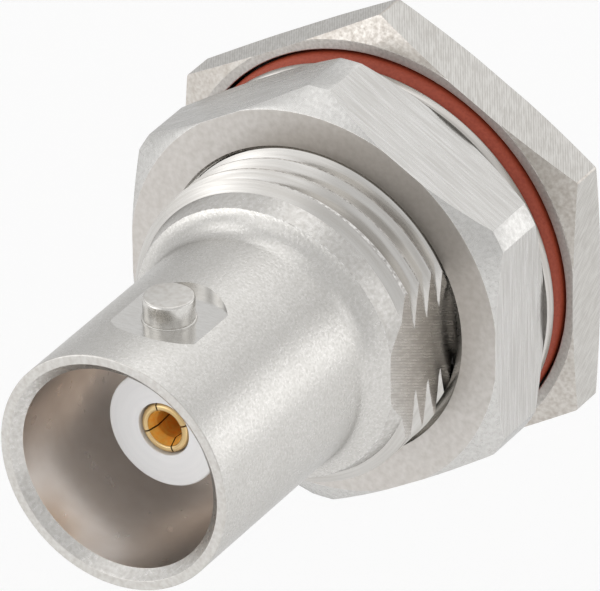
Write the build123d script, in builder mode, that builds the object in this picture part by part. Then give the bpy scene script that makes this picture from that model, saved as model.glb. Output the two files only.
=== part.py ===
import os
from math import acos, degrees, radians, sqrt, tan

from build123d import *

# Panel jack with a bayonet mouth, built along Y in millimetres.
# The mouth looks to -Y, the upper stud to +Z and the milled flat of the thread to +X.
# Y = 0 is the front face of the hexagonal flange, which seals against the panel.

# Mouth and barrel
MOUTH_Y = -19.2
BARREL_R = 4.825
BORE_R = 4.08
MOUTH_FACE_R = 4.45
MOUTH_LEAD = 0.36
EDGE = 0.06
CAVITY_END_Y = -10.6

# Bayonet studs and the spot-faced pockets that they stand in
STUD_Y = -15.05
STUD_R = 1.0
STUD_TOP = 5.45
STUD_CHAMFER = 0.08
POCKET_R = 2.15
POCKET_FLOOR = 4.48

# Cove, lead cone and threaded shank
COVE_R = 1.2
COLLAR_R = 5.6
COLLAR_Y = -8.38
ROOT_R = 5.86
ROOT_Y = -7.58
SHANK_R = 6.3
FLANK_ANGLE = 30
FLAT_X = 5.5

# Hexagonal flange, and the hub behind it
FLANGE_AF = 17.0
FLANGE_T = 2.1
FLANGE_CORNER_R = 9.79
FLANGE_FACE_R = 8.6
FLANGE_BEVEL = 15
HUB_R = 4.9
HUB_Y = 4.4

# Nut and washer
NUT_AF = 15.8
NUT_CORNER_R = 8.87
NUT_FACE_R = 7.95
NUT_BEVEL = 34
NUT_T = 3.63
NUT_LEAD = 0.09
WASHER_R = 8.1
WASHER_T = 0.45

# Seal ring: its round section, what stands proud of the flange, its gap to either wall of the groove
# and to the washer, and the sides that its section is drawn with
SEAL_SECTION = 1.66
SEAL_PROUD = 0.66
SEAL_GAP = 0.12
SEAL_REST = 0.04
SEAL_SIDES = 12

# Insulators, contact and retaining ring
NOSE_R = 2.34
NOSE_Y = -15.6
LIP_R = 2.9
LIP_Y = -9.8
CORE_R = 3.45
JOINT_Y = -2.9
CORE_END_Y = 2.3
BOSS_R = 2.2
BOSS_Y = 3.9
CONTACT_R = 1.05
CONTACT_Y = -15.55
SOCKET_R = 0.67
SOCKET_MOUTH_R = 0.84
SOCKET_LEAD = 0.15
SOCKET_DEPTH = 5.5
SLOT_W = 0.12
SLOT_DEPTH = 5.0
SLOT_TURN = 22
SHOULDER_R = 1.5
SHOULDER_T = 0.6
POT_Y = 6.3
POT_R = 0.65
POT_DEPTH = 2.6
RING_BORE_R = 2.4
RING_SEAT_R = 3.9
RING_T = 1.3

# Clearances: a running pair, a washer on its thread and a press or push fit
RUN = 0.05
LOOSE = 0.1
FIT = 0.02

# Sizes that follow from the ones above
COVE_RISE = COLLAR_R - BARREL_R
COVE_START_Y = COLLAR_Y - sqrt(COVE_R**2 - (COVE_R - COVE_RISE) ** 2)
COVE_TURN = degrees(acos((COVE_R - COVE_RISE) / COVE_R))
FLANK_Y = ROOT_Y + (SHANK_R - ROOT_R) * tan(radians(FLANK_ANGLE))
FLANGE_DROP = (FLANGE_CORNER_R - FLANGE_FACE_R) * tan(radians(FLANGE_BEVEL))
NUT_DROP = (NUT_CORNER_R - NUT_FACE_R) * tan(radians(NUT_BEVEL))
NUT_BORE_R = SHANK_R + RUN
GROOVE_R = SHANK_R + SEAL_SECTION + 2 * SEAL_GAP
GROOVE_DEPTH = SEAL_SECTION - SEAL_PROUD
SEAL_R = (GROOVE_R + SHANK_R) / 2
NUT_REAR_Y = -(SEAL_PROUD + SEAL_REST + WASHER_T)
NUT_FRONT_Y = NUT_REAR_Y - NUT_T
STUD_FOOT = BORE_R + FIT

os.makedirs("parts", exist_ok=True)

# Shell, one turned piece: first its flange, a turned blank cut to a hexagon
with BuildPart() as shell:
    with BuildSketch(Plane.XY):
        with BuildLine():
            Polyline(
                (0, 0),
                (FLANGE_FACE_R, 0),
                (FLANGE_CORNER_R, FLANGE_DROP),
                (FLANGE_CORNER_R, FLANGE_T - FLANGE_DROP),
                (FLANGE_FACE_R, FLANGE_T),
                (0, FLANGE_T),
                close=True,
            )
        make_face()
    revolve(axis=Axis.Y)
    with BuildSketch(Plane.XZ):
        RegularPolygon(FLANGE_AF / 2, 6, major_radius=False, rotation=30)
    extrude(amount=-FLANGE_T, mode=Mode.INTERSECT)
    # Barrel, cove, lead cone and shank in one outline
    with BuildSketch(Plane.XY):
        with BuildLine():
            Polyline(
                (0, GROOVE_DEPTH),
                (0, MOUTH_Y),
                (BARREL_R - EDGE, MOUTH_Y),
                (BARREL_R, MOUTH_Y + EDGE),
                (BARREL_R, COVE_START_Y),
            )
            CenterArc((BARREL_R + COVE_R, COVE_START_Y), COVE_R, 180, -COVE_TURN)
            Polyline(
                (COLLAR_R, COLLAR_Y),
                (ROOT_R, ROOT_Y),
                (SHANK_R, FLANK_Y),
                (SHANK_R, GROOVE_DEPTH),
                (0, GROOVE_DEPTH),
            )
        make_face()
    revolve(axis=Axis.Y)
    # Hub behind the flange
    with BuildSketch(Plane.XY):
        with BuildLine():
            Polyline(
                (0, FLANGE_T),
                (HUB_R, FLANGE_T),
                (HUB_R, HUB_Y - 2 * EDGE),
                (HUB_R - 2 * EDGE, HUB_Y),
                (0, HUB_Y),
                close=True,
            )
        make_face()
    revolve(axis=Axis.Y)
    # Seal groove in the flange's front face
    with BuildSketch(Plane.XY):
        with Locations((SEAL_R, GROOVE_DEPTH / 2)):
            Rectangle(GROOVE_R - SHANK_R, GROOVE_DEPTH)
    revolve(axis=Axis.Y, mode=Mode.SUBTRACT)
    # Stepped bore: lead-in, cavity, lip, insulator bore and ring seat
    with BuildSketch(Plane.XY):
        with BuildLine():
            Polyline(
                (0, MOUTH_Y),
                (MOUTH_FACE_R, MOUTH_Y),
                (BORE_R, MOUTH_Y + MOUTH_LEAD),
                (BORE_R, CAVITY_END_Y),
                (LIP_R, CAVITY_END_Y),
                (LIP_R, LIP_Y),
                (CORE_R, LIP_Y),
                (CORE_R, CORE_END_Y),
                (RING_SEAT_R, CORE_END_Y),
                (RING_SEAT_R, HUB_Y),
                (0, HUB_Y),
                close=True,
            )
        make_face()
    revolve(axis=Axis.Y, mode=Mode.SUBTRACT)
    # Pockets round the two studs, and the holes that the studs are pressed into
    with BuildSketch(Plane.XY.offset(POCKET_FLOOR)):
        with Locations((0, STUD_Y)):
            Circle(POCKET_R)
    extrude(amount=1, mode=Mode.SUBTRACT)
    with BuildSketch(Plane.XY.offset(-POCKET_FLOOR)):
        with Locations((0, STUD_Y)):
            Circle(POCKET_R)
    extrude(amount=-1, mode=Mode.SUBTRACT)
    with BuildSketch(Plane.XY):
        with Locations((0, STUD_Y)):
            Circle(STUD_R + FIT)
    extrude(amount=BARREL_R, both=True, mode=Mode.SUBTRACT)
    # Flat along the shank, which keys the jack in a D-shaped panel hole
    with BuildSketch(Plane.XY):
        with Locations((FLAT_X, COLLAR_Y - 0.2)):
            Rectangle(2, -COLLAR_Y + 0.2, align=(Align.MIN, Align.MIN))
    extrude(amount=SHANK_R, both=True, mode=Mode.SUBTRACT)
shell.part.label = "shell"
export_step(shell.part, "parts/shell.step")

# Bayonet studs: plain pins with a broken top edge, their feet level with the bore
with BuildPart() as bayonet_stud_top:
    with BuildSketch(Plane.XY.offset(STUD_FOOT)):
        with Locations((0, STUD_Y)):
            Circle(STUD_R)
    extrude(amount=STUD_TOP - STUD_FOOT)
    chamfer(bayonet_stud_top.faces().sort_by(Axis.Z)[-1].edges(), STUD_CHAMFER)
bayonet_stud_top.part.label = "bayonet_stud_top"
export_step(bayonet_stud_top.part, "parts/bayonet_stud_top.step")

with BuildPart() as bayonet_stud_bottom:
    with BuildSketch(Plane.XY.offset(-STUD_FOOT)):
        with Locations((0, STUD_Y)):
            Circle(STUD_R)
    extrude(amount=STUD_FOOT - STUD_TOP)
    chamfer(bayonet_stud_bottom.faces().sort_by(Axis.Z)[0].edges(), STUD_CHAMFER)
bayonet_stud_bottom.part.label = "bayonet_stud_bottom"
export_step(bayonet_stud_bottom.part, "parts/bayonet_stud_bottom.step")

# Panel nut: a turned blank cut to a hexagon, with a lead at both ends of its bore
with BuildPart() as panel_nut:
    with BuildSketch(Plane.XY):
        with BuildLine():
            Polyline(
                (NUT_BORE_R + NUT_LEAD, NUT_FRONT_Y),
                (NUT_FACE_R, NUT_FRONT_Y),
                (NUT_CORNER_R, NUT_FRONT_Y + NUT_DROP),
                (NUT_CORNER_R, NUT_REAR_Y - NUT_DROP),
                (NUT_FACE_R, NUT_REAR_Y),
                (NUT_BORE_R + NUT_LEAD, NUT_REAR_Y),
                (NUT_BORE_R, NUT_REAR_Y - NUT_LEAD),
                (NUT_BORE_R, NUT_FRONT_Y + NUT_LEAD),
                close=True,
            )
        make_face()
    revolve(axis=Axis.Y)
    with BuildSketch(Plane.XZ.offset(-NUT_FRONT_Y)):
        RegularPolygon(NUT_AF / 2, 6, major_radius=False, rotation=30)
    extrude(amount=NUT_FRONT_Y - NUT_REAR_Y, mode=Mode.INTERSECT)
panel_nut.part.label = "panel_nut"
export_step(panel_nut.part, "parts/panel_nut.step")

# Panel washer, loose on the thread between the nut and the seal
with BuildPart() as panel_washer:
    with BuildSketch(Plane.XY):
        with Locations((SHANK_R + LOOSE, NUT_REAR_Y)):
            Rectangle(WASHER_R - SHANK_R - LOOSE, WASHER_T, align=(Align.MIN, Align.MIN))
        chamfer(vertices(), EDGE)
    revolve(axis=Axis.Y)
panel_washer.part.label = "panel_washer"
export_step(panel_washer.part, "parts/panel_washer.step")

# Seal ring, seated on the floor of the groove and standing proud of the flange
with BuildPart() as seal_ring:
    with BuildSketch(Plane.XY):
        with Locations((SEAL_R, GROOVE_DEPTH - SEAL_SECTION / 2)):
            RegularPolygon(SEAL_SECTION / 2, SEAL_SIDES)
    revolve(axis=Axis.Y)
seal_ring.part.label = "seal_ring"
export_step(seal_ring.part, "parts/seal_ring.step")

# Front insulator: its nose stands free in the cavity, its core fills the shell to the joint
with BuildPart() as front_insulator:
    with BuildSketch(Plane.XY):
        with BuildLine():
            Polyline(
                (CONTACT_R + FIT, NOSE_Y),
                (NOSE_R - EDGE, NOSE_Y),
                (NOSE_R, NOSE_Y + EDGE),
                (NOSE_R, CAVITY_END_Y),
                (LIP_R - FIT, CAVITY_END_Y),
                (LIP_R - FIT, LIP_Y),
                (CORE_R - FIT, LIP_Y),
                (CORE_R - FIT, JOINT_Y),
                (SHOULDER_R + FIT, JOINT_Y),
                (SHOULDER_R + FIT, JOINT_Y - SHOULDER_T),
                (CONTACT_R + FIT, JOINT_Y - SHOULDER_T),
                close=True,
            )
        make_face()
    revolve(axis=Axis.Y)
front_insulator.part.label = "front_insulator"
export_step(front_insulator.part, "parts/front_insulator.step")

# Rear insulator, with a boss that comes through the retaining ring
with BuildPart() as rear_insulator:
    with BuildSketch(Plane.XY):
        with BuildLine():
            Polyline(
                (CONTACT_R + FIT, JOINT_Y),
                (CORE_R - FIT, JOINT_Y),
                (CORE_R - FIT, CORE_END_Y),
                (BOSS_R, CORE_END_Y),
                (BOSS_R, BOSS_Y),
                (CONTACT_R + FIT, BOSS_Y),
                close=True,
            )
        make_face()
    revolve(axis=Axis.Y)
rear_insulator.part.label = "rear_insulator"
export_step(rear_insulator.part, "parts/rear_insulator.step")

# Centre contact: a slotted spring socket in front, a shoulder and an open solder pot behind
with BuildPart() as centre_contact:
    with BuildSketch(Plane.XY):
        with BuildLine():
            Polyline(
                (0, CONTACT_Y + SOCKET_DEPTH),
                (SOCKET_R, CONTACT_Y + SOCKET_DEPTH),
                (SOCKET_R, CONTACT_Y + SOCKET_LEAD),
                (SOCKET_MOUTH_R, CONTACT_Y),
                (CONTACT_R - EDGE, CONTACT_Y),
                (CONTACT_R, CONTACT_Y + EDGE),
                (CONTACT_R, JOINT_Y - SHOULDER_T),
                (SHOULDER_R, JOINT_Y - SHOULDER_T),
                (SHOULDER_R, JOINT_Y),
                (CONTACT_R, JOINT_Y),
                (CONTACT_R, POT_Y),
                (POT_R, POT_Y),
                (POT_R, POT_Y - POT_DEPTH),
                (0, POT_Y - POT_DEPTH),
                close=True,
            )
        make_face()
    revolve(axis=Axis.Y)
    with BuildSketch(Plane.XZ.offset(-CONTACT_Y)):
        Rectangle(3 * CONTACT_R, SLOT_W, rotation=SLOT_TURN)
        Rectangle(3 * CONTACT_R, SLOT_W, rotation=SLOT_TURN + 90)
    extrude(amount=-SLOT_DEPTH, mode=Mode.SUBTRACT)
    # One side of the pot is milled away, so that solder can be fed in
    with BuildSketch(Plane.XZ.offset(-POT_Y)):
        with Locations((0, CONTACT_R)):
            Rectangle(2 * POT_R, CONTACT_R)
    extrude(amount=0.6 * POT_DEPTH, mode=Mode.SUBTRACT)
centre_contact.part.label = "centre_contact"
export_step(centre_contact.part, "parts/centre_contact.step")

# Retaining ring, pressed into the hub behind the rear insulator
with BuildPart() as retaining_ring:
    with BuildSketch(Plane.XY):
        with Locations((RING_BORE_R, CORE_END_Y)):
            Rectangle(RING_SEAT_R - FIT - RING_BORE_R, RING_T, align=(Align.MIN, Align.MIN))
        chamfer(vertices(), EDGE)
    revolve(axis=Axis.Y)
retaining_ring.part.label = "retaining_ring"
export_step(retaining_ring.part, "parts/retaining_ring.step")
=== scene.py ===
from math import acos, atan2, cos, hypot, pi, radians, sin, sqrt, tan

import bmesh
import bpy
from mathutils import Matrix, Vector


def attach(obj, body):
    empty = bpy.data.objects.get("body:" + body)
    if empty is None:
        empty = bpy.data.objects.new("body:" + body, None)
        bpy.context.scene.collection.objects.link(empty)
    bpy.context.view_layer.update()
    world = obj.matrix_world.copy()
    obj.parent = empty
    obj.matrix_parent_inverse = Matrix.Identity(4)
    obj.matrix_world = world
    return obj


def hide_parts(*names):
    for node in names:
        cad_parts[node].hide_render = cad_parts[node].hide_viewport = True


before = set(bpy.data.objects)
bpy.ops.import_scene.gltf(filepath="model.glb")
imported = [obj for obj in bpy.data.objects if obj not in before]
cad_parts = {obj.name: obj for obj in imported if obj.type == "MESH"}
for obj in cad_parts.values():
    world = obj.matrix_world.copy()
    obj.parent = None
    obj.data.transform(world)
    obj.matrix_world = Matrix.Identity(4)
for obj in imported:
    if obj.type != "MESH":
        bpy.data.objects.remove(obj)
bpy.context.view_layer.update()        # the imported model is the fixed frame
mm = 0.001               # sizes below are in millimetres, Blender's are in metres
beyond = 1.0             # how far a cutter reaches past the metal
white = (1, 1, 1, 1)
# In the sizes a name ending in R is a radius, and one ending in Y a place along the axis, mouth at -Y

# How corners are rounded and meshes shaded: degrees, and square millimetres of a face that is left flat
meshLook = {"cornerSteps": 6, "brokenAngle": 20, "sharpAngle": 17, "flatArea": 2, "flatAlongY": 0.999}


def newObject(name, bm):
    mesh = bpy.data.meshes.new(name)
    bm.to_mesh(mesh)
    bm.free()
    obj = bpy.data.objects.new(name, mesh)
    bpy.context.scene.collection.objects.link(obj)
    return obj


def rounded(outline):       # a corner (r, y, edge) gets an arc of that edge radius
    points = []
    for i, (r, y, *edge) in enumerate(outline):
        if not edge:
            points.append((r, y))
            continue
        corner = Vector((r, y))
        before = (Vector(outline[i - 1][:2]) - corner).normalized()
        after = (Vector(outline[(i + 1) % len(outline)][:2]) - corner).normalized()
        half = before.angle(after) / 2
        centre = corner + (before + after).normalized() * edge[0] / sin(half)
        first = corner + before * edge[0] / tan(half) - centre
        last = corner + after * edge[0] / tan(half) - centre
        start = atan2(first.y, first.x)
        turn = (atan2(last.y, last.x) - start + pi) % (2 * pi) - pi
        for k in range(meshLook["cornerSteps"] + 1):
            a = start + turn * k / meshLook["cornerSteps"]
            points.append((centre.x + edge[0] * cos(a), centre.y + edge[0] * sin(a)))
    return points


def turned(name, outline, steps=360, start=0.0):     # spins a closed outline of (radius, y) about Y
    bm = bmesh.new()
    outline = rounded(outline)
    rings = []
    for k in range(steps):
        a = start + 2 * pi * k / steps
        rings.append([bm.verts.new((r * mm * cos(a), y * mm, r * mm * sin(a))) for r, y in outline])
    for k, here in enumerate(rings):
        there = rings[(k + 1) % steps]
        for i in range(len(outline)):
            j = (i + 1) % len(outline)
            bm.faces.new((here[i], here[j], there[j], there[i]))
    bmesh.ops.remove_doubles(bm, verts=bm.verts, dist=1e-8)
    bmesh.ops.recalc_face_normals(bm, faces=bm.faces)
    return newObject(name, bm)


def prism(name, corners, axis, start, end):     # corners are (u, v) across the axis, which is "Y" or "Z"
    bm = bmesh.new()
    ends = []
    for w in (start, end):
        places = [(u, w, v) if axis == "Y" else (u, v, w) for u, v in corners]
        ends.append([bm.verts.new([c * mm for c in place]) for place in places])
    low, high = ends
    bm.faces.new(low)
    bm.faces.new(high)
    for i in range(len(corners)):
        j = (i + 1) % len(corners)
        bm.faces.new((low[i], low[j], high[j], high[i]))
    bmesh.ops.recalc_face_normals(bm, faces=bm.faces)
    return newObject(name, bm)


def hexagon(acrossFlats):     # flats to +X and -X, a corner to +Z
    r = acrossFlats / sqrt(3)
    return [(r * cos(radians(30 + 60 * k)), r * sin(radians(30 + 60 * k))) for k in range(6)]


def circle(x, y, r, steps):
    return [(x + r * cos(2 * pi * k / steps), y + r * sin(2 * pi * k / steps)) for k in range(steps)]


def helix(name, section, thread, middleY, turns, fade):
    # a right-hand screw of that section, (radius, y offset), which lifts out of the metal at its ends
    firstTurn, lastTurn = turns
    count = int((lastTurn - firstTurn) * thread["steps"])
    bm = bmesh.new()
    rows = []
    for k in range(count + 1):
        turn = firstTurn + (lastTurn - firstTurn) * k / count
        a = radians(90 - 360 * turn)
        y = middleY + thread["pitch"] * turn
        lift = thread["lift"] * max(0, 1 - (turn - firstTurn) / fade, 1 - (lastTurn - turn) / fade)
        places = [((r + lift) * mm * cos(a), (y + dy) * mm, (r + lift) * mm * sin(a)) for r, dy in section]
        rows.append([bm.verts.new(place) for place in places])
    for here, there in zip(rows, rows[1:]):
        for i in range(len(section)):
            j = (i + 1) % len(section)
            bm.faces.new((here[i], here[j], there[j], there[i]))
    bm.faces.new(rows[0])
    bm.faces.new(rows[-1])
    bmesh.ops.recalc_face_normals(bm, faces=bm.faces)
    return newObject(name, bm)


def settle(obj):     # turns the modifiers into plain mesh
    shown = obj.evaluated_get(bpy.context.evaluated_depsgraph_get())
    mesh = bpy.data.meshes.new_from_object(shown)
    obj.modifiers.clear()
    old = obj.data
    obj.data = mesh
    bpy.data.meshes.remove(old)
    mesh.name = obj.name


def carve(obj, tool, operation="DIFFERENCE"):
    mod = obj.modifiers.new("carve", "BOOLEAN")
    mod.operation = operation
    mod.solver = "EXACT"
    mod.object = tool
    settle(obj)
    bpy.data.objects.remove(tool)


def breakEdges(obj, width, fromR):     # a small real chamfer on the sharp edges outside a radius
    bm = bmesh.new()
    bm.from_mesh(obj.data)
    outer = [edge for edge in bm.edges if all(hypot(v.co.x, v.co.z) > fromR * mm for v in edge.verts)]
    angle = radians(meshLook["brokenAngle"])
    sharp = [edge for edge in outer if len(edge.link_faces) == 2 and edge.calc_face_angle(0) > angle]
    bmesh.ops.bevel(bm, geom=sharp, offset=width * mm, segments=2, profile=0.5, affect="EDGES",
                    clamp_overlap=True)
    bm.to_mesh(obj.data)
    bm.free()


def finishMesh(obj):     # smooth shading that leaves large faces, and faces square to the axis, flat
    obj.data.set_sharp_from_angle(angle=radians(meshLook["sharpAngle"]))
    for face in obj.data.polygons:
        small = face.area < meshLook["flatArea"] * mm ** 2
        face.use_smooth = small and abs(face.normal.y) < meshLook["flatAlongY"]
    mod = obj.modifiers.new("evenShading", "WEIGHTED_NORMAL")
    mod.keep_sharp = True
    settle(obj)


def mount(obj, body, slot, *nodes):
    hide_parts(*nodes)
    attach(obj, body)


# The shell is one turned piece: mouth, barrel, cove, threaded shank with its flat, hexagonal flange and hub
shellSize = {
    "mouthY": -19.2, "barrelR": 4.825, "boreR": 4.08, "mouthFaceR": 4.45, "leadDepth": 0.36,
    "cavityEndY": -10.6, "lipR": 2.9, "lipY": -9.8, "coreR": 3.45, "coreEndY": 2.3, "ringSeatR": 3.9,
    "coveR": 1.2, "coveSteps": 14, "collarR": 5.6, "collarY": -8.38, "coneR": 5.86, "coneY": -7.58,
    "crestR": 6.3, "hubR": 4.9, "hubStartY": 1.5, "hubY": 4.4,
    "mouthEdge": 0.05, "fineEdge": 0.03, "leadEdge": 0.02, "boreCorner": 0.1, "seatEdge": 0.05,
    "hubEdge": 0.12,
    "flatX": 5.5, "flatY": -8.8, "flatEndY": 0.0, "flatHalf": 3.6, "flatCutterX": 7,
    "studY": -15.05, "pocketR": 2.15, "pocketFloor": 4.48, "pocketRoom": 2.3, "pocketSteps": 192,
    "steps": 480,
}
flangeSize = {
    "acrossFlats": 17.0, "thickness": 2.1, "cornerR": 9.79, "faceR": 8.6, "bevel": 15, "step": 0.05,
    "innerR": 4.3, "grooveR": 8.2, "grooveDepth": 1.0, "grooveCorner": 0.1, "grooveEdge": 0.04,
    "edge": 0.06, "edgeFromR": 8.3, "steps": 360, "start": 0.2,
}
threadSize = {
    "pitch": 0.907143, "crestY": -7.307, "rootR": 5.66, "rootWidth": 0.1, "flank": 30, "outR": 6.335,
    "firstTurn": -0.5, "endY": -0.6, "steps": 220, "fade": 0.3, "lift": 0.7,
}


def coveCurve(size):     # the arc from the barrel up to the collar
    rise = size["collarR"] - size["barrelR"]
    startY = size["collarY"] - sqrt(size["coveR"] ** 2 - (size["coveR"] - rise) ** 2)
    sweep = acos((size["coveR"] - rise) / size["coveR"])
    angles = [pi - sweep * k / size["coveSteps"] for k in range(size["coveSteps"])]
    return [(size["barrelR"] + size["coveR"] * (1 + cos(a)), startY + size["coveR"] * sin(a)) for a in angles]


def makeBody(size, flankTan):     # one outline, along the outside to the hub and back through the bore
    return turned("shellTurned", [
        (size["mouthFaceR"], size["mouthY"], size["fineEdge"]),
        (size["barrelR"], size["mouthY"], size["mouthEdge"]),
        (size["barrelR"], size["studY"] - size["pocketRoom"]),
        (size["barrelR"], size["studY"] + size["pocketRoom"]),
        *coveCurve(size),
        (size["collarR"], size["collarY"], size["fineEdge"]), (size["coneR"], size["coneY"]),
        (size["crestR"], size["coneY"] + (size["crestR"] - size["coneR"]) * flankTan), (size["crestR"], 0),
        (size["crestR"], size["hubStartY"]), (size["hubR"], size["hubStartY"]),
        (size["hubR"], size["hubY"], size["hubEdge"]), (size["ringSeatR"], size["hubY"], size["seatEdge"]),
        (size["ringSeatR"], size["coreEndY"]), (size["coreR"], size["coreEndY"]),
        (size["coreR"], size["lipY"]), (size["lipR"], size["lipY"]),
        (size["lipR"], size["cavityEndY"], size["fineEdge"]),
        (size["boreR"], size["cavityEndY"], size["boreCorner"]),
        (size["boreR"], size["mouthY"] + size["leadDepth"], size["leadEdge"]),
    ], size["steps"])


def makeFlange(size):
    drop = (size["cornerR"] - size["faceR"]) * tan(radians(size["bevel"]))
    flange = turned("flange", [
        (size["innerR"], size["grooveDepth"]), (size["grooveR"], size["grooveDepth"], size["grooveCorner"]),
        (size["grooveR"], 0, size["grooveEdge"]), (size["faceR"], 0), (size["faceR"], size["step"]),
        (size["cornerR"], size["step"] + drop), (size["cornerR"], size["thickness"] - drop),
        (size["faceR"], size["thickness"]), (size["innerR"], size["thickness"]),
    ], size["steps"], radians(size["start"]))
    corners = hexagon(size["acrossFlats"])
    carve(flange, prism("flangeHex", corners, "Y", -beyond, size["thickness"] + beyond), "INTERSECT")
    breakEdges(flange, size["edge"], size["edgeFromR"])
    return flange


def makeShell(size, thread):
    flankTan = tan(radians(thread["flank"]))
    shell = makeBody(size, flankTan)
    carve(shell, makeFlange(flangeSize), "UNION")
    half = thread["rootWidth"] / 2
    outHalf = half + (thread["outR"] - thread["rootR"]) * flankTan
    root, out = thread["rootR"], thread["outR"]
    section = [(root, -half), (out, -outHalf), (out, outHalf), (root, half)]
    middleY = thread["crestY"] + thread["pitch"] / 2
    lastTurn = (thread["endY"] - middleY) / thread["pitch"]
    turns = (thread["firstTurn"], lastTurn)
    carve(shell, helix("threadGroove", section, thread, middleY, turns, thread["fade"]))
    near, far, reach = size["flatX"], size["flatCutterX"], size["flatHalf"]
    flat = [(near, -reach), (far, -reach), (far, reach), (near, reach)]
    carve(shell, prism("flatCutter", flat, "Y", size["flatY"], size["flatEndY"]))
    pocket = circle(0, size["studY"], size["pocketR"], size["pocketSteps"])
    for side in (1, -1):
        floor, top = sorted((side * size["pocketFloor"], side * (size["barrelR"] + beyond)))
        carve(shell, prism("pocketCutter", pocket, "Z", floor, top))
    finishMesh(shell)
    return shell


shell = makeShell(shellSize, threadSize)
print("shell", len(shell.data.polygons))

# The two bayonet studs; their feet are hidden in the wall
studSize = {
    "outerR": 0.98, "topZ": 5.45, "footZ": 4.2, "edge": 0.1,
    "beadR": 1.04, "beadZ": 4.55, "beadEdge": 0.03, "beadStep": 0.01, "steps": 128,
}


def makeStud(name, side, size):     # side is 1 for the top, -1 for the bottom
    stud = turned(name, [
        (0, size["footZ"]), (size["beadR"], size["footZ"]), (size["beadR"], size["beadZ"], size["beadEdge"]),
        (size["outerR"], size["beadZ"] + size["beadStep"]), (size["outerR"], size["topZ"], size["edge"]),
        (0, size["topZ"]),
    ], size["steps"])
    place = Matrix.Translation((0, shellSize["studY"] * mm, 0)) @ Matrix.Rotation(side * pi / 2, 4, "X")
    stud.data.transform(place)
    finishMesh(stud)
    return stud


studTop = makeStud("bayonetStudTop", 1, studSize)
studBottom = makeStud("bayonetStudBottom", -1, studSize)

# Panel nut: turned, cut to a hexagon and threaded
nutSize = {
    "acrossFlats": 15.8, "cornerR": 8.87, "faceR": 7.95, "bevel": 34, "frontY": -4.78, "rearY": -1.15,
    "boreR": 5.9, "leadR": 6.46, "leadDepth": 0.4, "edge": 0.06, "edgeFromR": 7.7,
    "grooveR": 6.36, "grooveWidth": 0.06, "innerR": 5.84, "firstTurn": 2, "fade": 0.01,
}


def makeNut(size, thread):
    drop = (size["cornerR"] - size["faceR"]) * tan(radians(size["bevel"]))
    nut = turned("panelNut", [
        (size["faceR"], size["frontY"]), (size["cornerR"], size["frontY"] + drop),
        (size["cornerR"], size["rearY"] - drop), (size["faceR"], size["rearY"]),
        (size["leadR"], size["rearY"]), (size["boreR"], size["rearY"] - size["leadDepth"]),
        (size["boreR"], size["frontY"] + size["leadDepth"]), (size["leadR"], size["frontY"]),
    ])
    corners = hexagon(size["acrossFlats"])
    carve(nut, prism("nutHex", corners, "Y", size["frontY"] - beyond, size["rearY"] + beyond), "INTERSECT")
    breakEdges(nut, size["edge"], size["edgeFromR"])
    half = size["grooveWidth"] / 2
    inner, outer = size["innerR"], size["grooveR"]
    innerHalf = half + (outer - inner) * tan(radians(thread["flank"]))
    section = [(inner, -innerHalf), (outer, -half), (outer, half), (inner, innerHalf)]
    lastTurn = (size["rearY"] + beyond - thread["crestY"]) / thread["pitch"]
    turns = (size["firstTurn"], lastTurn)
    carve(nut, helix("nutGroove", section, thread, thread["crestY"], turns, size["fade"]))
    finishMesh(nut)
    return nut


nut = makeNut(nutSize, threadSize)
print("nut", len(nut.data.polygons))

# Flat rings: the loose washer, a hair behind the nut, and the ring pressed into the hub
washerSize = {
    "outerR": 8.02, "boreR": 6.42, "frontY": -1.147, "thickness": 0.447, "edge": 0.1, "steps": 360,
    "offCentre": 0.1,
}
ringSize = {"outerR": 3.88, "boreR": 2.4, "frontY": 2.3, "thickness": 1.3, "edge": 0.08, "steps": 256}


def makeFlatRing(name, size):
    rearY = size["frontY"] + size["thickness"]
    ring = turned(name, [
        (size["boreR"], size["frontY"], size["edge"]), (size["outerR"], size["frontY"], size["edge"]),
        (size["outerR"], rearY, size["edge"]), (size["boreR"], rearY, size["edge"]),
    ], size["steps"])
    finishMesh(ring)
    return ring


washer = makeFlatRing("panelWasher", washerSize)
washer.data.transform(Matrix.Translation((washerSize["offCentre"] * mm, 0, 0)))     # as it lies in its play

# Seal of round section
sealSize = {"ringR": 7.25, "sectionR": 0.83, "middleY": 0.17, "sides": 48}


def makeSeal(size):
    angles = [2 * pi * k / size["sides"] for k in range(size["sides"])]
    ringR, sectionR, y = size["ringR"], size["sectionR"], size["middleY"]
    seal = turned("sealRing", [(ringR + sectionR * cos(a), y + sectionR * sin(a)) for a in angles])
    finishMesh(seal)
    return seal


seal = makeSeal(sealSize)

# Insulators: the nose stands free in the mouth, the rest fills the shell round the contact
insulatorSize = {
    "noseR": 2.34, "noseY": -15.6, "noseEndY": -10.6, "lipR": 2.88, "lipY": -9.8, "boreR": 1.07,
    "coreR": 3.43, "jointY": -2.9, "shoulderR": 1.52, "shoulderY": -3.5, "coreEndY": 2.3,
    "bossR": 2.2, "bossY": 3.9, "edge": 0.05, "noseEdge": 0.08, "bossEdge": 0.12, "bossBoreEdge": 0.08,
    "noseSteps": 256, "rearSteps": 192,
}


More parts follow.
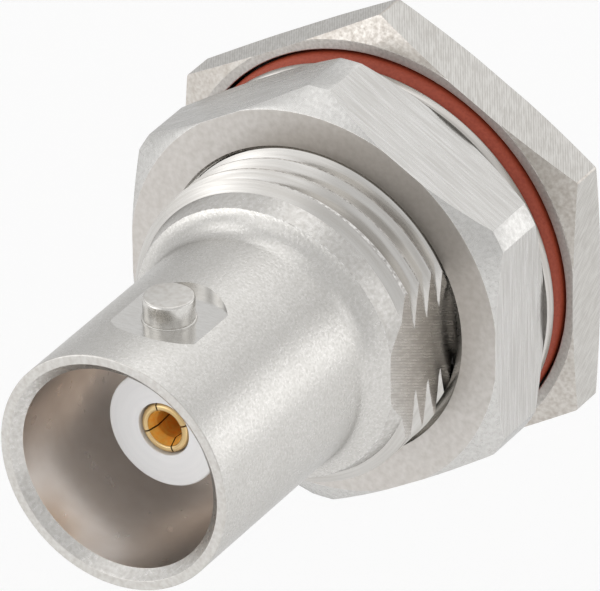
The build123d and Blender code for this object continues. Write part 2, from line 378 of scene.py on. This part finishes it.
def makeInsulators(size):
    nose = turned("frontInsulator", [
        (size["boreR"], size["noseY"], size["edge"]), (size["noseR"], size["noseY"], size["noseEdge"]),
        (size["noseR"], size["noseEndY"]), (size["lipR"], size["noseEndY"]), (size["lipR"], size["lipY"]),
        (size["coreR"], size["lipY"], size["edge"]), (size["coreR"], size["jointY"], size["edge"]),
        (size["shoulderR"], size["jointY"]), (size["shoulderR"], size["shoulderY"]),
        (size["boreR"], size["shoulderY"]),
    ], size["noseSteps"])
    rear = turned("rearInsulator", [
        (size["boreR"], size["jointY"]), (size["coreR"], size["jointY"], size["edge"]),
        (size["coreR"], size["coreEndY"], size["edge"]), (size["bossR"], size["coreEndY"]),
        (size["bossR"], size["bossY"], size["bossEdge"]),
        (size["boreR"], size["bossY"], size["bossBoreEdge"]),
    ], size["rearSteps"])
    finishMesh(nose)
    finishMesh(rear)
    return nose, rear


nose, rear = makeInsulators(insulatorSize)

# Centre contact: a slotted socket in front, a solder pot behind
contactSize = {
    "outerR": 1.05, "tipR": 1.01, "frontY": -15.55, "taper": 0.8, "tipEdge": 0.16,
    "mouthR": 0.74, "mouthEdge": 0.07, "gripR": 0.57, "gripDepth": 0.45, "gripEdge": 0.12,
    "holeR": 0.67, "holeStart": 1.6, "holeDepth": 5.5, "drillTip": 0.25,
    "slotWidth": 0.06, "slotDepth": 5.0, "slotTurn": 22,
    "shoulderR": 1.5, "shoulderY": -3.5, "jointY": -2.9, "shoulderEdge": 0.04, "endY": 6.3, "endEdge": 0.06,
    "potR": 0.65, "potDepth": 2.6, "potTip": 0.3, "potOpen": 1.56, "windowZ": 0.5, "steps": 192,
}


def makeContact(size):
    frontY, endY = size["frontY"], size["endY"]
    contact = turned("centreContact", [
        (0, frontY + size["holeDepth"] + size["drillTip"]), (size["holeR"], frontY + size["holeDepth"]),
        (size["holeR"], frontY + size["holeStart"]),
        (size["gripR"], frontY + size["gripDepth"], size["gripEdge"]),
        (size["mouthR"], frontY, size["mouthEdge"]), (size["tipR"], frontY, size["tipEdge"]),
        (size["outerR"], frontY + size["taper"]), (size["outerR"], size["shoulderY"]),
        (size["shoulderR"], size["shoulderY"], size["shoulderEdge"]),
        (size["shoulderR"], size["jointY"], size["shoulderEdge"]), (size["outerR"], size["jointY"]),
        (size["outerR"], endY, size["endEdge"]), (size["potR"], endY, size["endEdge"]),
        (size["potR"], endY - size["potDepth"]), (0, endY - size["potDepth"] - size["potTip"]),
    ], size["steps"])
    for turn in (0, 90):     # two crossed slots make four fingers
        a = radians(size["slotTurn"] + turn)
        along = Vector((cos(a), sin(a))) * (size["outerR"] + beyond)
        across = Vector((-sin(a), cos(a))) * size["slotWidth"] / 2
        corners = [-along - across, along - across, along + across, across - along]
        carve(contact, prism("slotCutter", corners, "Y", frontY - beyond, frontY + size["slotDepth"]))
    half, low, high = size["potR"], size["windowZ"], size["outerR"] + beyond
    window = [(-half, low), (half, low), (half, high), (-half, high)]
    carve(contact, prism("potCutter", window, "Y", endY - size["potOpen"], endY + beyond))
    finishMesh(contact)
    return contact


contact = makeContact(contactSize)
ring = makeFlatRing("retainingRing", ringSize)
print("small pieces")

# Shared effects of the finishes, with their scales per millimetre
perMetre = 1000.0     # millimetres in a metre, the shader's own unit
maskRange = {"grain": (0.35, 0.68), "marks": (0.35, 0.65)}     # noise that becomes a mask from 0 to 1
ridgeShare = 0.25     # height of the even ridges beside the noise


def newGroup(name, inputs, outputs):     # inputs: {name: (kind, value)}, outputs: {name: kind}
    group = bpy.data.node_groups.new(name, "ShaderNodeTree")
    for socket, (kind, value) in inputs.items():
        made = group.interface.new_socket(socket, in_out="INPUT", socket_type="NodeSocket" + kind)
        made.default_value = value
    for socket, kind in outputs.items():
        group.interface.new_socket(socket, in_out="OUTPUT", socket_type="NodeSocket" + kind)
    return group, group.nodes.new("NodeGroupInput").outputs, group.nodes.new("NodeGroupOutput").inputs


def addNode(tree, kind, links=None, **values):     # links: {input: output socket or plain value}
    node = tree.nodes.new("ShaderNode" + kind)
    for key, value in values.items():
        setattr(node, key, value)
    for key, value in (links or {}).items():
        if isinstance(value, bpy.types.NodeSocket):
            tree.links.new(value, node.inputs[key])
        else:
            node.inputs[key].default_value = value
    return node


def calc(tree, operation, *values):     # one math node
    return addNode(tree, "Math", dict(enumerate(values)), operation=operation).outputs[0]


def ownPlace(tree):     # the object's own coordinates
    return addNode(tree, "TexCoord").outputs["Object"]


def rotate(tree, vector, angle, axis):
    return addNode(tree, "VectorRotate", {"Vector": vector, "Angle": angle}, rotation_type=axis).outputs[0]


def giveEffect(group, result, height, limits):
    low, high = limits
    mask = addNode(group, "MapRange", {"Value": height, "From Min": low, "From Max": high})
    group.links.new(height, result["Height"])
    group.links.new(mask.outputs[0], result["Mask"])


effectOutputs = {"Height": "Float", "Mask": "Float"}
stretchInput = {"Stretch": ("Vector", (1.0, 1.0, 1.0))}     # waves per millimetre each way


def makeGrain():     # speckle of a blasted or cast surface
    inputs = {"Scale": ("Float", 8.0), "Detail": ("Float", 2.0)}
    group, given, result = newGroup("surfaceGrain", inputs, effectOutputs)
    scale = calc(group, "MULTIPLY", given["Scale"], perMetre)
    noise = addNode(group, "TexNoise", {"Vector": ownPlace(group), "Scale": scale, "Detail": given["Detail"]})
    giveEffect(group, result, noise.outputs["Fac"], maskRange["grain"])
    return group


def drawMarks(group, where, given, result, ridges=None):
    big = addNode(group, "VectorMath", {0: where, 1: (perMetre,) * 3}, operation="MULTIPLY")
    drawn = addNode(group, "VectorMath", {0: big.outputs[0], 1: given["Stretch"]}, operation="MULTIPLY")
    noise = addNode(group, "TexNoise", {"Vector": drawn.outputs[0], "Scale": 1.0, "Detail": 3.0})
    height = noise.outputs["Fac"]
    if ridges:
        even = calc(group, "MULTIPLY", ridges, given["Even"])
        height = calc(group, "MULTIPLY_ADD", even, ridgeShare, height)
    giveEffect(group, result, height, maskRange["marks"])


def makeMarks():     # lines left by a cutter: noise drawn out by the stretch
    group, given, result = newGroup("toolMarks", stretchInput, effectOutputs)
    drawMarks(group, ownPlace(group), given, result)
    return group


def makeHatch():     # the same on the six sides of a hexagon; Stretch is along a side, along Y, outward
    inputs = {**stretchInput, "Slant": ("Float", 0.0), "Pitch": ("Float", 0.1), "Even": ("Float", 0.0)}
    group, given, result = newGroup("sideHatch", inputs, effectOutputs)
    where = ownPlace(group)
    axes = addNode(group, "SeparateXYZ", {0: where}).outputs
    turnAngle = calc(group, "ARCTAN2", axes["Z"], axes["X"])
    side = calc(group, "SNAP", calc(group, "ADD", turnAngle, pi / 6), pi / 3)
    level = rotate(group, where, side, "Y_AXIS")
    axes = addNode(group, "SeparateXYZ", {0: rotate(group, level, given["Slant"], "X_AXIS")}).outputs
    flat = addNode(group, "CombineXYZ", {"X": axes["Z"], "Y": axes["Y"], "Z": axes["X"]}).outputs[0]
    waves = calc(group, "MULTIPLY", axes["Z"], 2 * pi * perMetre)
    ridges = calc(group, "SINE", calc(group, "DIVIDE", waves, given["Pitch"]))
    drawMarks(group, flat, given, result, ridges)
    return group


def makeRings():     # fine rings about the axis, as a lathe leaves them on faces and cylinders
    inputs = {"Density": ("Float", 12.0), "Wander": ("Float", 0.3)}
    group, given, result = newGroup("turnedRings", inputs, effectOutputs)
    where = addNode(group, "SeparateXYZ", {0: ownPlace(group)}).outputs
    squares = [calc(group, "POWER", where[axis], 2.0) for axis in ("X", "Z")]
    radius = calc(group, "SQRT", calc(group, "ADD", *squares))
    turnAngle = calc(group, "ARCTAN2", where["X"], where["Z"])
    across = addNode(group, "CombineXYZ", {"X": radius, "Y": where["Y"]}).outputs[0]
    density = calc(group, "MULTIPLY", given["Density"], perMetre)
    scaled = addNode(group, "VectorMath", {0: across, "Scale": density}, operation="SCALE").outputs[0]
    around = calc(group, "MULTIPLY", turnAngle, given["Wander"])
    sideways = addNode(group, "CombineXYZ", {"Z": around}).outputs[0]
    total = addNode(group, "VectorMath", {0: scaled, 1: sideways}, operation="ADD").outputs[0]
    noise = addNode(group, "TexNoise", {"Vector": total, "Scale": 1.0, "Detail": 2.0})
    giveEffect(group, result, noise.outputs["Fac"], maskRange["marks"])
    return group


grainGroup = makeGrain()
marksGroup = makeMarks()
hatchGroup = makeHatch()
ringsGroup = makeRings()

# Slow stain under every finish: its share of the mask, and its grain
stain = {"share": 0.15, "Scale": 0.55, "Detail": 3.0}


def finish(name, light, dark, roughness, effect=None, settings=None, bump=0.0, grain=None, metallic=1):
    # light runs to dark, and roughness from its first to its second value, with the mask
    mat = bpy.data.materials.new(name)
    mat.use_nodes = True
    tree = mat.node_tree
    shader = tree.nodes["Principled BSDF"]
    shader.inputs["Metallic"].default_value = metallic
    slow = addNode(tree, "Group", node_tree=grainGroup)
    for key in ("Scale", "Detail"):
        slow.inputs[key].default_value = stain[key]
    mask = calc(tree, "MULTIPLY", slow.outputs["Mask"], stain["share"])
    height = 0.0
    if effect:
        fine = addNode(tree, "Group", node_tree=effect)
        for key, value in settings.items():
            fine.inputs[key].default_value = value
        mask = calc(tree, "MULTIPLY_ADD", fine.outputs["Mask"], 1 - stain["share"], mask)
        height = fine.outputs["Height"]
    if grain:     # speckle over the effect: its scale and its share of the height
        speck = addNode(tree, "Group", node_tree=grainGroup)
        speck.inputs["Scale"].default_value = grain[0]
        height = calc(tree, "MULTIPLY_ADD", speck.outputs["Height"], grain[1], height)
    tint = addNode(tree, "Mix", {"Factor": mask, "A": (*light, 1), "B": (*dark, 1)}, data_type="RGBA")
    tree.links.new(tint.outputs["Result"], shader.inputs["Base Color"])
    rough = addNode(tree, "MapRange", {"Value": mask, "To Min": roughness[0], "To Max": roughness[1]})
    tree.links.new(rough.outputs[0], shader.inputs["Roughness"])
    if bump:
        relief = addNode(tree, "Bump", {"Height": height, "Strength": 1.0, "Distance": bump * mm})
        tree.links.new(relief.outputs[0], shader.inputs["Normal"])
    return mat


def nickel(name, light, dark, roughness, effect, settings, bump, grain=None, grazing=0.75):
    # grazing is the reflection that is left along the surface
    mat = finish(name, light, dark, roughness, effect, settings, bump, grain)
    shader = mat.node_tree.nodes["Principled BSDF"]
    shader.inputs["Specular Tint"].default_value = (grazing, grazing, grazing, 1)
    return mat


nickelFinishes = {
    "blasted": nickel("nickelBlasted", (0.725, 0.71, 0.685), (0.60, 0.585, 0.555), (0.26, 0.34), grainGroup,
                      {"Scale": 9, "Detail": 4}, 0.012),
    "turned": nickel("nickelTurned", (0.72, 0.705, 0.68), (0.56, 0.54, 0.51), (0.26, 0.34), grainGroup,
                     {"Scale": 6, "Detail": 4}, 0.011),
    "rim": nickel("nickelRim", (0.72, 0.705, 0.675), (0.58, 0.555, 0.52), (0.3, 0.4), grainGroup,
                  {"Scale": 5, "Detail": 4}, 0.008),
    "thread": nickel("nickelThread", (0.69, 0.675, 0.65), (0.58, 0.56, 0.53), (0.12, 0.2), ringsGroup,
                     {"Density": 6, "Wander": 1.5}, 0.003),
    # crest: its light end is a painted highlight, glints along the thread crests and the collar edge, mixed
    # with darker flecks
    "crest": nickel("nickelCrestGlint", (0.94, 0.93, 0.91), (0.42, 0.40, 0.38), (0.3, 0.4), marksGroup,
                    {"Stretch": (6, 6, 6)}, 0.008),
    "milled": nickel("nickelMilledFlat", (0.76, 0.735, 0.70), (0.57, 0.54, 0.505), (0.26, 0.34), hatchGroup,
                     {"Stretch": (7, 1.6, 1), "Slant": 0.47, "Pitch": 0.115, "Even": 0.45}, 0.004, (8, 0.5)),
    "polished": nickel("nickelPolished", (0.78, 0.77, 0.75), (0.70, 0.685, 0.66), (0.14, 0.2), marksGroup,
                       {"Stretch": (2, 9, 2)}, 0.0012),
    # bore: coloured brighter than nickel, painted light inside the deep bore
    "bore": nickel("nickelBorePaintedLight", (0.925, 0.87, 0.82), (0.875, 0.81, 0.755), (0.27, 0.33), grainGroup,
                   {"Scale": 1.2, "Detail": 2}, 0.0, grazing=1.0),
    "flangeFace": nickel("nickelFlangeFace", (0.67, 0.64, 0.60), (0.50, 0.46, 0.415), (0.3, 0.42), grainGroup,
                         {"Scale": 6, "Detail": 4}, 0.011),
    "flangeSide": nickel("nickelFlangeSide", (0.7, 0.685, 0.655), (0.56, 0.54, 0.51), (0.32, 0.42),
                         hatchGroup,
                         {"Stretch": (12, 2, 1), "Slant": -0.6, "Pitch": 0.1, "Even": 0.5}, 0.007, (9, 0.8)),
    "nutFace": nickel("nickelNutFace", (0.66, 0.63, 0.60), (0.57, 0.54, 0.505), (0.34, 0.42), grainGroup,
                      {"Scale": 4, "Detail": 4}, 0.004),
    "studSide": nickel("nickelStudSide", (0.76, 0.745, 0.715), (0.66, 0.64, 0.61), (0.22, 0.3), grainGroup,
                       {"Scale": 6, "Detail": 3}, 0.002),
    "nutSide": nickel("nickelNutSide", (0.72, 0.71, 0.69), (0.59, 0.575, 0.55), (0.24, 0.32), hatchGroup,
                      {"Stretch": (0.5, 9, 1)}, 0.008, (8, 0.6)),
    "nutCorner": nickel("nickelNutCorner", (0.70, 0.69, 0.67), (0.59, 0.58, 0.56), (0.22, 0.3), grainGroup,
                        {"Scale": 6, "Detail": 4}, 0.005),
    # edge: light enough to be a painted highlight, the glints along the broken edges
    "edge": nickel("nickelEdgeGlint", (0.95, 0.94, 0.92), (0.60, 0.58, 0.55), (0.35, 0.45), grainGroup,
                   {"Scale": 5, "Detail": 3}, 0.008),
    "lip": nickel("nickelGrooveLip", (0.75, 0.735, 0.705), (0.60, 0.58, 0.55), (0.55, 0.65), grainGroup,
                  {"Scale": 7, "Detail": 4}, 0.006),
    "washer": nickel("nickelWasher", (0.68, 0.655, 0.625), (0.56, 0.53, 0.495), (0.26, 0.34), ringsGroup,
                     {"Density": 6, "Wander": 0.5}, 0.003),
    # dark: painted shade on the washer's front, in the narrow gap behind the nut
    "paintedShade": nickel("nickelPaintedShade", (0.30, 0.285, 0.27), (0.22, 0.21, 0.195), (0.4, 0.5), grainGroup,
                     {"Scale": 6, "Detail": 2}, 0.002),
    # near black: painted shade in the seal groove and the recess behind the seal
    "groovePaintedShade": nickel("nickelGroovePaintedShade", (0.10, 0.09, 0.085), (0.06, 0.055, 0.05), (0.5, 0.6), grainGroup,
                     {"Scale": 6, "Detail": 2}, 0.002),
}


def paint(obj, choose):     # choose(r, x, y, z, normal) names the finish of a face, in millimetres
    order = list(nickelFinishes)
    for mat in nickelFinishes.values():
        obj.data.materials.append(mat)
    for face in obj.data.polygons:
        x, y, z = (v / mm for v in face.center)
        face.material_index = order.index(choose(hypot(x, z), x, y, z, face.normal))


# What tells one painted surface from the next, in millimetres and cosines
limits = {
    "hair": 0.01, "close": 0.02, "room": 0.03, "edgeRoom": 0.04, "faceRoom": 0.1,
    "threadFromR": 5.7, "crestFromR": 6.25, "flangeFromR": 8, "nutThreadToR": 6.4,
    "squareOn": 0.9999, "facing": 0.99, "faceTilt": 0.95, "topTilt": 0.9, "upright": 0.02,
}


def shellFinish(r, x, y, z, normal):
    size = shellSize
    leadEndY = size["mouthY"] + size["leadDepth"]
    outward = (x * normal.x + z * normal.z) / max(r, limits["hair"])
    if abs(x - size["flatX"]) < limits["hair"] and y < size["flatEndY"] and normal.x > limits["facing"]:
        return "milled"
    inPocket = hypot(x, y - size["studY"]) < size["pocketR"] + limits["hair"] and abs(z) > size["boreR"]
    if inPocket and (abs(normal.z) > limits["squareOn"] or abs(normal.z) < limits["hair"]):
        return "polished"
    # the bore takes the brightened bore colour, painted light
    boreStartY, boreEndY = leadEndY - size["leadEdge"], size["cavityEndY"] + limits["room"]
    if r < size["boreR"] + limits["edgeRoom"] and boreStartY < y < boreEndY:
        return "bore"
    if y < size["mouthY"] + limits["edgeRoom"]:
        return "rim"
    if y < leadEndY:
        return "turned" if outward < 0 else "blasted"
    # the collar's edge takes the crest finish: a painted highlight line
    if abs(y - size["collarY"]) < limits["room"] and abs(r - size["collarR"]) < limits["room"]:
        return "crest"
    if y < size["collarY"] and r > size["mouthFaceR"]:
        return "blasted"
    # thread crests facing outward take the crest finish, a painted highlight
    if size["coneY"] < y < -limits["faceRoom"] and r > limits["threadFromR"]:
        return "crest" if outward > limits["facing"] and r > limits["crestFromR"] else "thread"
    return flangeFinish(r, y, normal)


def flangeFinish(r, y, normal):
    size = flangeSize
    # the groove behind the seal is painted near black, painted shade
    inGroove = limits["crestFromR"] < r < size["grooveR"] + limits["close"]
    if inGroove and limits["room"] < y < size["grooveDepth"] + limits["room"]:
        return "groovePaintedShade"
    if normal.y < -limits["facing"] and size["grooveR"] < r < size["faceR"]:
        return "lip"
    if y > -limits["faceRoom"] and r > limits["flangeFromR"]:
        return hexFinish(r, normal, size["cornerR"], "flangeSide", "flangeFace", "flangeFace")
    return "turned"


def hexFinish(r, normal, cornerR, side, corner, face):     # everything else on a turned hexagon is an edge, coloured as a painted highlight
    fromFlat = (atan2(normal.z, normal.x) + pi / 6) % (pi / 3) - pi / 6
    if abs(normal.y) < limits["upright"]:
        if abs(fromFlat) < limits["hair"]:
            return side
        return corner if r > cornerR - limits["close"] else "edge"
    return face if abs(normal.y) > limits["faceTilt"] else "edge"


def nutFinish(r, x, y, z, normal):
    size = nutSize
    if r < limits["nutThreadToR"]:
        return "thread"
    if abs(normal.y) > limits["facing"]:
        return "nutFace"
    if abs(abs(normal.y) - cos(radians(size["bevel"]))) < limits["upright"]:
        return "nutCorner"
    return hexFinish(r, normal, size["cornerR"], "nutSide", "nutCorner", "nutFace")


paint(shell, shellFinish)
paint(nut, nutFinish)
# the washer's front face is painted dark, painted shade from the nut pressed close in front
paint(washer, lambda r, x, y, z, normal: "paintedShade" if normal.y < -limits["faceTilt"] else "washer")
paint(ring, lambda r, x, y, z, normal: "turned")
for stud in (studTop, studBottom):
    paint(stud, lambda r, x, y, z, normal: "rim" if abs(normal.z) > limits["topTilt"] else "studSide")

gold = finish("goldPlate", (0.74, 0.55, 0.29), (0.58, 0.41, 0.19), (0.16, 0.24), ringsGroup,
              {"Density": 8, "Wander": 0.6}, 0.0008)
# the socket's inside: gold lifted brighter, painted light in the narrow hole
goldBorePaintedLight = finish("goldBorePaintedLight", (1.0, 0.72, 0.22), (1.0, 0.60, 0.13), (0.75, 0.8), grainGroup,
                  {"Scale": 6, "Detail": 2}, 0.002)
ptfe = finish("whiteInsulator", (0.93, 0.932, 0.94), (0.89, 0.895, 0.905), (0.38, 0.45), ringsGroup,
              {"Density": 5, "Wander": 0.5}, 0.0006, metallic=0)
rubber = finish("sealRubber", (0.41, 0.066, 0.027), (0.32, 0.045, 0.018), (0.5, 0.58), grainGroup,
                {"Scale": 9, "Detail": 3}, 0.003, metallic=0)
for obj, mat in ((nose, ptfe), (rear, ptfe), (seal, rubber), (contact, gold), (contact, goldBorePaintedLight)):
    obj.data.materials.append(mat)
for face in contact.data.polygons:     # the socket's inside has its own gold, number 1, lifted brighter and warmer: painted light in the hole
    inside = hypot(face.center.x, face.center.z) < (contactSize["holeR"] + limits["hair"]) * mm
    face.material_index = int(inside and face.center.y < 0)
print("finishes")

mount(shell, "jack", "nickel", "shell")
mount(studTop, "jack", "nickel", "bayonet_stud_top")
mount(studBottom, "jack", "nickel", "bayonet_stud_bottom")
mount(nut, "nut", "nickel", "panel_nut")
mount(washer, "washer", "nickel", "panel_washer")
mount(seal, "jack", "seal_rubber", "seal_ring")
mount(nose, "jack", "white_plastic", "front_insulator")
mount(rear, "jack", "white_plastic", "rear_insulator")
mount(contact, "jack", "gold_plate", "centre_contact")
mount(ring, "jack", "nickel", "retaining_ring")

# Camera, as the photograph was taken
cameraSize = {
    "place": (203.881, -346.066, 230.389), "right": (0.86104, 0.50843, -0.01063),
    "up": (-0.24673, 0.43594, 0.86550), "back": (0.44467, -0.74260, 0.50080),
    "lens": 735.27, "sensor": 36, "shift": (-0.0024, -0.0044), "clipStart": 10,
}


def makeCamera(size):
    camera = bpy.data.objects.new("camera", bpy.data.cameras.new("camera"))
    bpy.context.scene.collection.objects.link(camera)
    turn = Matrix((size["right"], size["up"], size["back"])).transposed()
    camera.matrix_world = Matrix.Translation(Vector(size["place"]) * mm) @ turn.to_4x4()
    camera.data.lens = size["lens"]
    camera.data.sensor_width = size["sensor"]
    camera.data.clip_start = size["clipStart"] * mm
    camera.data.shift_x, camera.data.shift_y = size["shift"]
    bpy.context.scene.camera = camera


makeCamera(cameraSize)

# Pale floor, well below the part so that it only shows as a backdrop; sizes in metres
floorSize = {"side": 0.6, "z": -0.035, "light": 0.95, "dark": 0.94, "roughness": 0.9, "backdrop": 0.08}


def makeFloor(size):
    bm = bmesh.new()
    bmesh.ops.create_grid(bm, x_segments=1, y_segments=1, size=size["side"] / 2)
    floor = newObject("floor", bm)
    floor.location.z = size["z"]
    light, dark, roughness = (size["light"],) * 3, (size["dark"],) * 3, (size["roughness"],) * 2
    pale = finish("paleFloor", light, dark, roughness, metallic=0)
    tree = pale.node_tree
    path = addNode(tree, "LightPath").outputs
    seen = calc(tree, "ADD", calc(tree, "ADD", path["Is Camera Ray"], path["Is Glossy Ray"]),
                path["Is Transmission Ray"])
    shader = tree.nodes["Principled BSDF"]
    shader.inputs["Emission Color"].default_value = white
    tree.links.new(calc(tree, "MULTIPLY", seen, size["backdrop"]), shader.inputs["Emission Strength"])
    floor.data.materials.append(pale)


makeFloor(floorSize)

# Even studio light with soft boxes: degrees round from the mouth's side towards +X, degrees up, strength
studioLight = {"base": 0.72, "spread": 24}
studioBoxes = {
    "keyLeft": (-60, 2, 0.4), "key": (-40, 2, 1.1), "keyRight": (-20, 2, 0.8), "frontTop": (-30, 40, 0.5),
    "left": (-85, 40, 0.7), "right": (105, 20, 0.4), "backRight": (140, 2, 0.8), "back": (-170, 20, 0.6),
    "backTopLeft": (-160, 60, 0.6), "backTopRight": (164, 44, 0.28), "top": (0, 90, 0.45),
}


def makeSoftBox():     # light of one box as seen from the part, full in its middle and none past its spread
    inputs = {"Direction": ("Vector", (0, 0, 1)), "Spread": ("Float", 0.5), "Strength": ("Float", 1.0)}
    group, given, result = newGroup("softBox", inputs, {"Light": "Float"})
    where = addNode(group, "TexCoord").outputs["Generated"]
    near = addNode(group, "VectorMath", {0: where, 1: given["Direction"]}, operation="DOT_PRODUCT")
    glow = addNode(group, "MapRange", {
        "Value": near.outputs["Value"], "From Min": given["Spread"], "To Max": given["Strength"],
    }, interpolation_type="SMOOTHERSTEP")
    group.links.new(glow.outputs[0], result["Light"])
    return group


def makeStudio(light, boxes):
    world = bpy.data.worlds.new("studio")
    bpy.context.scene.world = world
    world.use_nodes = True
    tree = world.node_tree
    boxGroup = makeSoftBox()
    total = light["base"]
    for name, (azimuth, height, strength) in boxes.items():
        a, e = radians(azimuth), radians(height)
        box = addNode(tree, "Group", node_tree=boxGroup, label=name)
        box.inputs["Direction"].default_value = (sin(a) * cos(e), -cos(a) * cos(e), sin(e))
        box.inputs["Spread"].default_value = cos(radians(light["spread"]))
        box.inputs["Strength"].default_value = strength
        total = calc(tree, "ADD", box.outputs["Light"], total)
    background = tree.nodes["Background"].inputs
    background["Color"].default_value = white
    tree.links.new(total, background["Strength"])


makeStudio(studioLight, studioBoxes)
bpy.context.scene.view_settings.view_transform = "Standard"
print("camera, floor and light")
